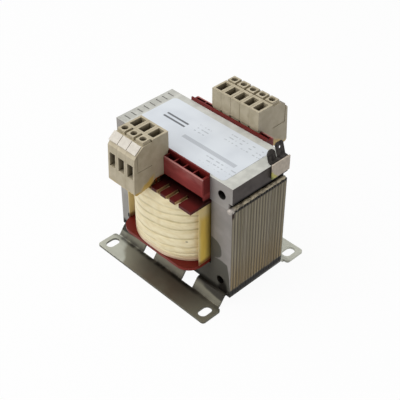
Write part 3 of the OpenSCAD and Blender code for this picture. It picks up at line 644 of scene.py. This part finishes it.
# Painted shade on faces that slope away from the top.
sloping_shade = foot.add("MapRange", foot.facing["Z"], 0.8, 0.95, 0.8, 0, **SMOOTH)
zinc = foot.add("Mix", sloping_shade, zinc, "4f4d43", **COLOUR)
rear_half = foot.add("MapRange", foot.y, 0, 20, 0, 0.6, **SMOOTH)
zinc = foot.add("Mix", rear_half, zinc, "d7d8cb", **COLOUR)
height = foot.add("Math", foot.mottle(7, 2), 3, foot.z, operation="MULTIPLY_ADD")
outward = foot.add("Math", foot.x, operation="ABSOLUTE")
towards_end = foot.add("MapRange", outward, 26, 44, -1.5, 3.6, **SMOOTH)
height = foot.add("Math", height, towards_end, operation="ADD")
off_rail = foot.add("MapRange", foot.z, RAIL_TOP, 6, **SMOOTH)
height = foot.add("Math", height, off_rail, operation="MULTIPLY")
# Painted shade under the core, deepest towards the ends.
shade_under_core = foot.add("MapRange", height, 4.5, 8, 0, 0.9, **SMOOTH)
zinc = foot.add("Mix", shade_under_core, zinc, "1d1a16", **COLOUR)
# Painted shade in the inner folds, fading towards the right end.
fold_shade = foot.stripe(foot.add("Math", foot.y, operation="ABSOLUTE"), FOLD_NEAR, FOLD_FAR, 1.2)
for limit in (foot.add("MapRange", foot.x, 22, 34, 1, 0.45, **SMOOTH),
              foot.add("MapRange", foot.mottle(6, 2), 0.3, 0.6, 0.4, 0.9, **SMOOTH)):
    fold_shade = foot.add("Math", fold_shade, limit, operation="MULTIPLY")
zinc = foot.add("Mix", fold_shade, zinc, "24211b", **COLOUR)
foot.set(Base_Color=zinc, Roughness=foot.add("Math", cloud, 0.2, 0.3, operation="MULTIPLY_ADD"))
foot.set(Normal=foot.add("Bump", 0.4, 0.03 * MM, named={"Height": rubbing}))
softened("foot_plate", foot, "foot_steel", 0.3)
print("foot plate softened")

# %% [markdown]
# ## Bobbin: moulded polyamide
# Dark red, glass-filled polyamide. Moulding leaves a satin skin with faint flow marks. Low down, under the
# carriers and the terminals, the bobbin is painted darker than the carriers' outer walls as painted shade,
# and this takes in the comb flange. The lower flange keeps a red of its own, and its rim is painted a little
# lighter as a painted highlight.

# %% Red plastic and varnish
COMB_T = 2.5
comb_low, comb_high = coil_high.z, coil_high.z + COMB_T
bobbin = Finish("moulded_red_polyamide", roughness=0.4, Specular_IOR_Level=0.15)
flow = bobbin.mottle(6, 3, (0.5, 0.5, 1))
red = bobbin.add("MapRange", flow, 0.3, 0.7, **SMOOTH)
red = bobbin.add("Mix", red, "8c3b38", "752d2b", **COLOUR)
# Painted shade low down, where the carriers and terminals hang over the comb flange.
low_shade = bobbin.add("Math", flow, 3, bobbin.z, operation="MULTIPLY_ADD")
low_shade = bobbin.add("MapRange", low_shade, JOINT + 1.5, JOINT + 4.5, 0.95, 0, **SMOOTH)
red = bobbin.add("Mix", low_shade, red, "480f0c", **COLOUR)
# Painted highlight: the lower flange's rim is painted a little lighter than its top.
upright = bobbin.add("Math", bobbin.facing["Z"], operation="ABSOLUTE")
upright = bobbin.add("MapRange", upright, 0.3, 0.7, 0.9, 0, **SMOOTH)
lower_red = bobbin.add("Mix", upright, "641c13", "72241a", **COLOUR)
lower = bobbin.add("MapRange", bobbin.z, coil_low.z - 0.5, coil_low.z + 0.5, 1, 0, **SMOOTH)
red = bobbin.add("Mix", lower, red, lower_red, **COLOUR)
print("comb flange from", round(comb_low, 1), "to", round(comb_high, 1), "mm")

# %% [markdown]
# ## Carriers and comb
# The carriers' outer walls carry pale patches towards the top and a pale top edge, both painted highlights.
# What lies inwards of them is painted darker as painted shade, and so is the comb flange next to the wall.
# One solid has no parts to colour, so each part is told by its distance from the middle and by its height.

# %% Walls and cells
WALL_IN = STACK + 5
wall_top = max(v.co.z for v in NODES["bobbin"].data.vertices if abs(v.co.y) > (WALL_IN + 0.5) * MM) / MM
outward = bobbin.add("Math", bobbin.y, operation="ABSOLUTE")
# Painted shade in the cells and on the inner walls.
cells = bobbin.add("MapRange", outward, WALL_IN - 0.2, WALL_IN + 0.3, 0.85, 0, **SMOOTH)
above_joint = bobbin.add("MapRange", bobbin.z, JOINT + 4, JOINT + 6, **SMOOTH)
cells = bobbin.add("Math", cells, above_joint, operation="MULTIPLY")
red = bobbin.add("Mix", cells, red, "5e1614", **COLOUR)
# Painted highlights: pale patches on the outer walls, more towards the top.
highlight_patches = bobbin.add("Math", bobbin.mottle(4, 3, (0.5, 1, 1)), 14, bobbin.z, operation="MULTIPLY_ADD")
highlight_patches = bobbin.add("MapRange", highlight_patches, wall_top + 2, wall_top + 7, 0, 0.35, **SMOOTH)
outer_face = bobbin.add("MapRange", outward, WALL_IN + 0.6, WALL_IN + 1, **SMOOTH)
red = bobbin.add("Mix", bobbin.add("Math", highlight_patches, outer_face, operation="MULTIPLY"), red, "9a6660", **COLOUR)
# Painted highlight along the outer walls' top edge.
edge_highlight = bobbin.add("MapRange", bobbin.z, wall_top - 0.6, wall_top - 0.2, 0, 0.42, **SMOOTH)
on_wall = bobbin.add("MapRange", outward, WALL_IN, WALL_IN + 0.4, **SMOOTH)
red = bobbin.add("Mix", bobbin.add("Math", edge_highlight, on_wall, operation="MULTIPLY"), red, "c79a94", **COLOUR)
# Painted shade on the comb flange next to the wall.
shade_by_wall = bobbin.add("MapRange", outward, WALL_IN + 1.5, WALL_IN + 7, 0.85, 0, **SMOOTH)
in_comb = bobbin.stripe(bobbin.z, comb_low - 1, comb_high + 1, 0.3)
red = bobbin.add("Mix", bobbin.add("Math", shade_by_wall, in_comb, operation="MULTIPLY"), red, "1c0605", **COLOUR)
print("the carriers' outer walls end at", round(wall_top, 2), "mm")

# %% [markdown]
# ## Painted shade and slots
# Corners and cells are painted darker as painted shade. It could be painted by hand, but an Ambient Occlusion
# node finds such places by itself: it falls from 1 in the open to 0 in a pocket. Tape ends show as tan walls
# in the comb's slots.

# %% Painted shade, slots and skin
# Painted shade in corners and cells, from ambient occlusion.
hollow = bobbin.add("AmbientOcclusion", named={"Distance": 10 * MM}, out="AO", only_local=True, samples=8)
corner_shade = bobbin.add("MapRange", hollow, 0.1, 0.6, 0.85, 0, **SMOOTH)
red = bobbin.add("Mix", corner_shade, red, "1c0605", **COLOUR)
slot_wall = bobbin.add("Math", bobbin.facing["X"], operation="ABSOLUTE")
slot_wall = bobbin.add("MapRange", slot_wall, 0.5, 0.8, **SMOOTH)
across = bobbin.add("Math", bobbin.x, operation="ABSOLUTE")
for limit in (bobbin.stripe(bobbin.z, comb_low + 0.1, comb_high - 0.1, 0.05),
              bobbin.add("MapRange", across, 27, 28, 1, 0, **SMOOTH),
              bobbin.add("MapRange", outward, STACK + 6, STACK + 15, 0.25, 0.95, **SMOOTH)):
    slot_wall = bobbin.add("Math", slot_wall, limit, operation="MULTIPLY")
bobbin.set(Base_Color=bobbin.add("Mix", slot_wall, red, "b39468", **COLOUR))
bobbin.set(Roughness=bobbin.add("Math", flow, 0.2, 0.28, operation="MULTIPLY_ADD"))
bobbin.set(Normal=bobbin.add("Bump", 0.4, 0.02 * MM, named={"Height": bobbin.mottle(0.5, 2)}))
softened("bobbin", bobbin, "bobbin_plastic", 0.18)
print("bobbin softened")

# %% [markdown]
# ## Coil: tape wound by hand
# Ivory tape covers the windings. Each turn laps over the one before and slopes down from right to left, and
# the varnish dip pulled it tight over the wire. Separate tape turns would be thin pieces that cut into each
# other, so the wrap is one skin, and each lap presses a soft groove into it.

# %% Laps of the tape
LAPS = [(65.0, 3.2, 0.3), (61.4, 6.2, 0.4), (56.4, 6.8, 0.45), (51.2, 7.2, 0.45), (49.0, 6.0, 0.2),
        (43.6, 6.8, 0.4), (37.2, 5.4, 0.3), (32.2, 3.2, 0.25), (29.2, 1.2, 0.2)]
LAP_WANDER = 1.4
LAP_SOFT, LAP_SHARP = 1.1, 0.5


def lap_dent(point, turn):
    """Depth of the tape below its fullest form where a lap passes, soft above and sharp below.

    Each lap has its height at the right side, its droop on the way to the left side, and its depth.
    """
    slope = (1 - math.cos(2 * math.pi * turn)) / 2
    dent = 0
    for height, droop, depth in LAPS:
        wander = LAP_WANDER * (lump((point.x, point.y, 0), 14, height) - 0.5)
        above = point.z - (height - droop * slope + wander)
        dent = max(dent, depth * math.exp(-(above / (LAP_SOFT if above > 0 else LAP_SHARP)) ** 2))
    return dent


print("laps of tape:", len(LAPS))

# %% [markdown]
# ## Skin of the wrap
# The skin is a tube with straight sides and elliptical ends that bellies out at half height, as tape does
# over a full coil. A formula gives each point its place, so laps and swellings can be added to it. Solidify
# gives the tape its thickness.

# %% Tape wrap
COIL_MIDDLE = (coil_low.z + coil_high.z) / 2
COIL_HALF = (coil_high.z - coil_low.z) / 2
STRAIGHT = 18
END_SHARE = 0.9
SIDE_BELLY, END_BELLY, LOW_BELLY = 2.2, 2.0, 0.9
TAPE = 0.6
wrap = Finish("varnished_ivory_tape", roughness=0.42, Coat_Weight=0.15, Coat_Roughness=0.3)


def soft_least(a, b, blur=0.3):
    """The lesser of two lengths, with the corner between them rounded."""
    return -blur * math.log(math.exp(-a / blur) + math.exp(-b / blur))


def tape_point(turn, rise):
    """A point of the wrap for a share of a turn from the right side, and a share of the height."""
    z = coil_low.z + 2 * COIL_HALF * rise
    pinch = ((z - COIL_MIDDLE) / COIL_HALF) ** 2
    half, share = divmod(turn * 2, 1)
    facing = 1 - 2 * half
    straight = max(0, share - END_SHARE) / (1 - END_SHARE)
    angle = math.pi * min(1, share / END_SHARE)
    x = coil_high.x * abs(math.cos(angle))
    y = STRAIGHT * (1 - 2 * straight) + (coil_high.y - STRAIGHT) * math.sin(angle)
    x = math.copysign(soft_least(x, coil_high.x - SIDE_BELLY * pinch), math.cos(angle))
    y = soft_least(y, coil_high.y - (LOW_BELLY if z < COIL_MIDDLE else END_BELLY) * pinch)
    point = Vector((facing * x, facing * y, z))
    dent = lap_dent(point, turn)
    inward = Vector((-math.cos(angle), -math.sin(angle), 0)) * facing
    return point + inward * (dent + 0.15 * lump(point, 9) + 0.05 * lump(point, 2.5, 3)), dent


tape = show("tape_wrap", rolled_skin(240, 120, tape_point), wrap, "wrap_tape", "outer_wrap")
wall = tape.modifiers.new("tape", "SOLIDIFY")
wall.thickness = TAPE * MM
wall.offset = -1
print("tape skin faces:", len(tape.data.polygons))

# %% [markdown]
# ## Finish of the tape
# The tape is dyed ivory and is slightly glossy from the varnish. It yellows towards the legs and darkens in
# the lap grooves, where varnish soaked in. The depth of each groove was kept with the mesh, so the colour
# follows the true shape.

# %% Ivory tape
weave = wrap.add("MapRange", wrap.mottle(5, 4, (1, 1, 2)), 0.3, 0.75, **SMOOTH)
ivory = wrap.add("Mix", weave, "ebdfba", "decd9f", **COLOUR)
outward = wrap.add("Math", wrap.x, operation="ABSOLUTE")
soaked = wrap.add("Math", wrap.mottle(4), 2, outward, operation="MULTIPLY_ADD")
soaked = wrap.add("MapRange", soaked, coil_high.x - 4, coil_high.x + 0.8, 0, 0.5, **SMOOTH)
ivory = wrap.add("Mix", soaked, ivory, "cdb56c", **COLOUR)
groove = wrap.add("MapRange", wrap.add("Attribute", attribute_name="dent", out="Fac"), 0.04, 0.55, **SMOOTH)
patchy = wrap.add("MapRange", wrap.mottle(6, 2), 0.2, 0.6, 0.4, 0.9, **SMOOTH)
ivory = wrap.add("Mix", wrap.add("Math", groove, patchy, operation="MULTIPLY"), ivory, "b2a274", **COLOUR)
print("tape finish started:", wrap.material.name)

# %% [markdown]
# ## Small marks on the tape
# At the lower edge a pink lip and a thin broken thread mark the end of the last turn, and one small dark
# spot sits in the right half. All of them are narrow stripes of height or width.

# %% Spot, lip and thread
SPOT_X, SPOT_Z = (22.1, 23.1), (40.5, 41.4)
spot = wrap.add("Math", wrap.stripe(wrap.x, *SPOT_X, 0.25), wrap.stripe(wrap.z, *SPOT_Z, 0.25),
                operation="MULTIPLY")
in_front = wrap.add("MapRange", wrap.y, -1, 0, 0.8, 0, **SMOOTH)
ivory = wrap.add("Mix", wrap.add("Math", spot, in_front, operation="MULTIPLY"), ivory, "5a4c35", **COLOUR)
edge = wrap.add("Math", wrap.mottle(9, 1), 0.8, wrap.z, operation="MULTIPLY_ADD")
lip = wrap.add("MapRange", edge, coil_low.z + 1.8, coil_low.z + 2.8, 0.75, 0, **SMOOTH)
ivory = wrap.add("Mix", lip, ivory, "c0a08a", **COLOUR)
thread = wrap.stripe(edge, coil_low.z + 2.7, coil_low.z + 3.1, 0.2)
broken = wrap.add("MapRange", wrap.mottle(12, 1), 0.4, 0.6, 0.1, 0.6, **SMOOTH)
ivory = wrap.add("Mix", wrap.add("Math", thread, broken, operation="MULTIPLY"), ivory, "a86250", **COLOUR)
wrap.set(Base_Color=ivory)
wrap.set(Normal=wrap.add("Bump", 0.3, 0.03 * MM, named={"Height": wrap.mottle(1.2, 2)}))
print("tape finish:", wrap.material.name)

# %% [markdown]
# ## Film beside the coil
# A yellow polyester film keeps the coil off the outer legs. It is glossy and half clear, so it looks brown
# where steel lies close behind it, pale where it curls over the tape, and red-brown where its foot stands on
# the bobbin. A true clear film would show the unlit gap behind it, so these tones are painted.

# %% Film
film = Finish("yellow_insulating_film", roughness=0.3, Coat_Weight=0.3, Coat_Roughness=0.15)
gold = film.add("MapRange", film.mottle(9, 3, (1, 1, 0.4)), 0.3, 0.7, **SMOOTH)
gold = film.add("Mix", gold, "eccb5e", "d6b34b", **COLOUR)
outward = film.add("Math", film.y, operation="ABSOLUTE")
outward = film.add("Math", film.mottle(6, 2, (1, 1, 0.4)), 2, outward, operation="MULTIPLY_ADD")
pale = film.add("MapRange", outward, STACK + 7, STACK + 11, **SMOOTH)
for other in (film.add("MapRange", film.z, JOINT - 14, JOINT - 8, 0, 0.6, **SMOOTH),
              film.add("MapRange", film.x, -10, 0, 0.8, 0, **SMOOTH)):
    pale = film.add("Math", pale, other, operation="MAXIMUM")
gold = film.add("Mix", pale, gold, "d8caa0", **COLOUR)
by_steel = film.add("MapRange", outward, STACK + 0.5, STACK + 5.5, 0.8, 0, **SMOOTH)
gold = film.add("Mix", by_steel, gold, "6b5a30", **COLOUR)
low_edge = film.add("Math", film.mottle(4, 2), 3, film.z, operation="MULTIPLY_ADD")
low_edge = film.add("MapRange", low_edge, coil_low.z + 2.5, coil_low.z + 5.5, 0.85, 0, **SMOOTH)
film.set(Base_Color=film.add("Mix", low_edge, gold, "6b3a22", **COLOUR))
film.onto("side_film_left", "side_film_right")
print("film finish:", film.material.name)

# %% [markdown]
# ## Paper and copper
# The windings are enamelled copper: bare metal under a clear skin, so the colour is warm and the gloss sharp.
# Turns are drawn 0.9 mm thick, coarse enough to show, with a dark line beside each. The tops of the windings
# are covered with end tape, which is no metal, so the metallic share falls to 0 there. Paper separates the
# two windings.

# %% Windings, leads and paper
WIRE = 0.9
paper = Finish("insulating_paper", roughness=0.7)
paper.set(Base_Color=paper.add("Mix", paper.mottle(2, 4), "ddd3a2", "c7ba84", **COLOUR))
paper.onto("interlayer_insulation")

copper = Finish("enamelled_copper_wire", roughness=0.3)
turn_share = copper.add("Math", copper.add("Math", copper.z, WIRE, operation="DIVIDE"), operation="FRACT")
turns = copper.add("Mix", copper.stripe(turn_share, 0.15, 0.85, 0.1), "6d3113", "b8652c", **COLOUR)
covered = copper.add("MapRange", copper.facing["Z"], 0.7, 0.9, **SMOOTH)
near_top = copper.stripe(copper.z, coil_high.z - 0.5, coil_high.z + 0.2, 0.05)
covered = copper.add("Math", covered, near_top, operation="MULTIPLY")
end_tape = copper.add("Mix", copper.mottle(1.5, 3), "b8a67c", "8f7c55", **COLOUR)
copper.set(Base_Color=copper.add("Mix", covered, turns, end_tape, **COLOUR))
copper.set(Metallic=copper.add("Math", covered, -0.9, 0.9, operation="MULTIPLY_ADD"))
copper.onto("primary_winding", "secondary_winding", "front_leads", "rear_leads")
print("winding finishes:", paper.material.name, copper.material.name)

# %% [markdown]
# ## Terminals
# The modules are moulded in beige polyamide with fine round edges, satin and very slightly grainy. The dip
# left amber varnish along their lower edges and up their slanting undersides, glossier than the plastic.
# Their openings are deep, and an ambient occlusion node paints shade into them, as in the bobbin's cells.

# %% Terminal modules
MODULES = sorted(name for name in NODES if "_terminal_" in name)
shell = Finish("moulded_beige_polyamide", roughness=0.45)
beige = shell.add("MapRange", shell.mottle(5, 3), 0.3, 0.7, **SMOOTH)
beige = shell.add("Mix", beige, "ada28a", "a0957c", **COLOUR)
height = shell.add("Math", shell.mottle(2.5, 2, (1, 1, 0.5)), 2.4, shell.z, operation="MULTIPLY_ADD")
outward = shell.add("Math", shell.y, operation="ABSOLUTE")
beyond = shell.add("Math", outward, STACK + 12.5, operation="SUBTRACT")
slanted = shell.add("Math", beyond, 0.55, height, operation="MULTIPLY_ADD")
slanted = shell.add("MapRange", slanted, JOINT + 8, JOINT + 10.5, 1, 0, **SMOOTH)
slanted = shell.add("Math", slanted, shell.stripe(outward, STACK + 14, STACK + 23, 2), operation="MULTIPLY")
low_edge = shell.add("MapRange", height, JOINT + 0.8, JOINT + 2.6, 1, 0, **SMOOTH)
amber = shell.add("Math", slanted, low_edge, operation="MAXIMUM")
beige = shell.add("Mix", shell.add("Math", amber, 0.8, operation="MULTIPLY"), beige, "c6a144", **COLOUR)
# Painted shade in the openings, from ambient occlusion.
hollow = shell.add("AmbientOcclusion", named={"Distance": 8 * MM}, out="AO", only_local=True, samples=8)
corner_shade = shell.add("MapRange", hollow, 0.1, 0.6, 0.85, 0, **SMOOTH)
shell.set(Base_Color=shell.add("Mix", corner_shade, beige, "3d2f1c", **COLOUR))
shell.set(Roughness=shell.add("MapRange", amber, 0, 1, 0.45, 0.2, **SMOOTH))
shell.set(Normal=shell.add("Bump", 0.5, 0.015 * MM, named={"Height": shell.mottle(0.4, 2)}))
for module in MODULES:
    softened(module, shell, "terminal_plastic", 0.22)
print("modules softened:", len(MODULES))

# %% [markdown]
# ## Springs and contacts
# The clamp springs are bright steel strip and the contacts tinned brass, both full metals that show only in
# the openings. There they need no more than an uneven tone.

# %% Small metal
spring = Finish("spring_steel_strip", roughness=0.35, metallic=1.0)
spring.set(Base_Color=spring.add("Mix", spring.mottle(1.5), "7d7970", "5f5b52", **COLOUR))
spring.onto("front_clamp_springs", "rear_clamp_springs")

contact = Finish("tinned_brass", roughness=0.35, metallic=1.0)
contact.set(Base_Color=contact.add("Mix", contact.mottle(2), "9c8f70", "7f7252", **COLOUR))
contact.onto("front_contacts", "rear_contacts")
print("small metal:", spring.material.name, contact.material.name)

# %% [markdown]
# ## Marker tags
# The tags are a whiter plastic and stay plain. Their solids nearly fill a pole each, and real tags are
# narrower, so each point is drawn towards the middle of its pole. A tag's left edge lies exactly between two
# middles, though, and rounding sends most of these edges to the left one. Such a tag stays wide and sits
# 0.7 mm too far left. Counting from a little outside the first tag would keep every tag whole.

# %% Tags
TAG_SHARE = 0.82
POLE_PITCH = (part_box("rear_terminal_2")[0][0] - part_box("rear_terminal_1")[0][0]) / MM
tag = Finish("white_tag_plastic", roughness=0.5)
whiter = tag.add("MapRange", tag.mottle(2.5), 0.3, 0.7, **SMOOTH)
tag.set(Base_Color=tag.add("Mix", whiter, "c4beb3", "bab3a8", **COLOUR))
for row in ("front", "rear"):
    low, high = box(row + "_marker_tags")
    poles = sum(name.startswith(row) for name in MODULES)
    first_middle = low.x + (high.x - low.x - (poles - 1) * POLE_PITCH) / 2
    piece = softened(row + "_marker_tags", tag, "tag_plastic", 0.15)
    for vert in piece.data.vertices:
        pole = round((vert.co.x / MM - low.x) / POLE_PITCH - 0.5)
        middle = (first_middle + pole * POLE_PITCH) * MM
        vert.co.x = middle + (vert.co.x - middle) * TAG_SHARE
    print(row, "tags:", poles)

# %% [markdown]
# ## Earth terminal
# The tab is tinned brass that has darkened, so it hardly shines. Patches of tarnish break up its tone, and a
# fine bump stands for the pits in it.

# %% Earth tab
tab = Finish("tarnished_tinned_brass", roughness=0.55, metallic=0.2, Specular_IOR_Level=0.05)
tarnish = tab.add("MapRange", tab.mottle(2, 4), 0.35, 0.65, **SMOOTH)
tab.set(Base_Color=tab.add("Mix", tarnish, "494542", "2e2c2a", **COLOUR))
tab.set(Normal=tab.add("Bump", 0.5, 0.03 * MM, named={"Height": tab.mottle(0.8, 3)}))
tab.onto("earth_bracket")
print("earth tab:", tab.material.name)

# %% [markdown]
# ## Marker of the earth terminal
# The marker is a beige plate, clipped on from above. Its lower front corner is green and yellow, the colours
# of every protective earth, and the colours fade with the distance from that corner.

# %% Marker plate
GREEN_END, YELLOW_END = 3.0, 5.6
marker = Finish("beige_marker_plastic", roughness=0.5)
marker_low, marker_high = box("earth_marker")
card = marker.add("MapRange", marker.mottle(2), 0.3, 0.7, **SMOOTH)
card = marker.add("Mix", card, "b8ac9c", "a99d8e", **COLOUR)
along = marker.add("Math", marker.y, marker_low.y, operation="SUBTRACT")
up = marker.add("Math", marker.z, marker_low.z, operation="SUBTRACT")
from_corner = marker.add("Math", along, up, operation="ADD")
from_corner = marker.add("Math", marker.mottle(1.5), 2.5, from_corner, operation="MULTIPLY_ADD")
yellow = marker.add("MapRange", from_corner, YELLOW_END, YELLOW_END + 1.2, 0.85, 0, **SMOOTH)
card = marker.add("Mix", yellow, card, "b3ac4a", **COLOUR)
green = marker.add("MapRange", from_corner, GREEN_END, GREEN_END + 0.8, 0.7, 0, **SMOOTH)
marker.set(Base_Color=marker.add("Mix", green, card, "5f7038", **COLOUR))
softened("earth_marker", marker, "marker_plastic", 0.25)
print("marker plate is", round(marker_high.y - marker_low.y, 1), "mm long")

# %% [markdown]
# ## Rating label
# A satin film label. It stays plain apart from two dark lines, a grey bar of fine strokes and faint rows, as
# any rating label has them; there is no lettering on it. The rows are noise that is cut into lines, so no
# word can be read in them.

# %% Label
LINES, HALF_LINE = (2.8, -0.4), 0.7
STROKE_PITCH, ROW_PITCH = 0.9, 3.1
ROW_BLOCKS = ((16, 39, -17, -10), (12, 40, 6, 16), (-8, 4, -1, 9))
label = Finish("satin_label_film", roughness=0.4)
white = label.add("MapRange", label.mottle(20, 2), 0.3, 0.7, **SMOOTH)
white = label.add("Mix", white, "cdd2d7", "c3c8ce", **COLOUR)


def patch(x0, x1, y0, y1):
    """1 inside a rectangle of the label, in millimetres."""
    columns, lines = label.stripe(label.x, x0, x1, 0.2), label.stripe(label.y, y0, y1, 0.2)
    return label.add("Math", columns, lines, operation="MULTIPLY")


for middle in LINES:
    line = patch(-30.5, -12.6, middle - HALF_LINE, middle + HALF_LINE)
    white = label.add("Mix", line, white, "55585c", **COLOUR)
strokes = label.add("Math", label.add("Math", label.x, STROKE_PITCH, operation="DIVIDE"), operation="FRACT")
strokes = label.add("Math", label.stripe(strokes, 0.2, 0.75, 0.15), 0.35, 0.35, operation="MULTIPLY_ADD")
bar = label.add("Math", patch(-7, 35, -8.3, -5.3), strokes, operation="MULTIPLY")
white = label.add("Mix", bar, white, "8e9298", **COLOUR)
rows = label.add("Math", label.add("Math", label.y, ROW_PITCH, operation="DIVIDE"), operation="FRACT")
rows = label.stripe(rows, 0.35, 0.6, 0.1)
dashes = label.add("MapRange", label.mottle(1.6, 2, (1, 0.2, 1)), 0.5, 0.56, 0, 0.55, **SMOOTH)
faint = label.add("Math", rows, dashes, operation="MULTIPLY")
for corners in ROW_BLOCKS:
    block = label.add("Math", faint, patch(*corners), operation="MULTIPLY")
    white = label.add("Mix", block, white, "7b7f85", **COLOUR)
label.set(Base_Color=white)
label.onto("rating_label")
print("label finish:", label.material.name)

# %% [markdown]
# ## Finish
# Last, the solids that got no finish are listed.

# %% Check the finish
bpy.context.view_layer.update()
bare = [name for name, node in NODES.items() if not node.data.materials]
print("solids without a finish:", bare)
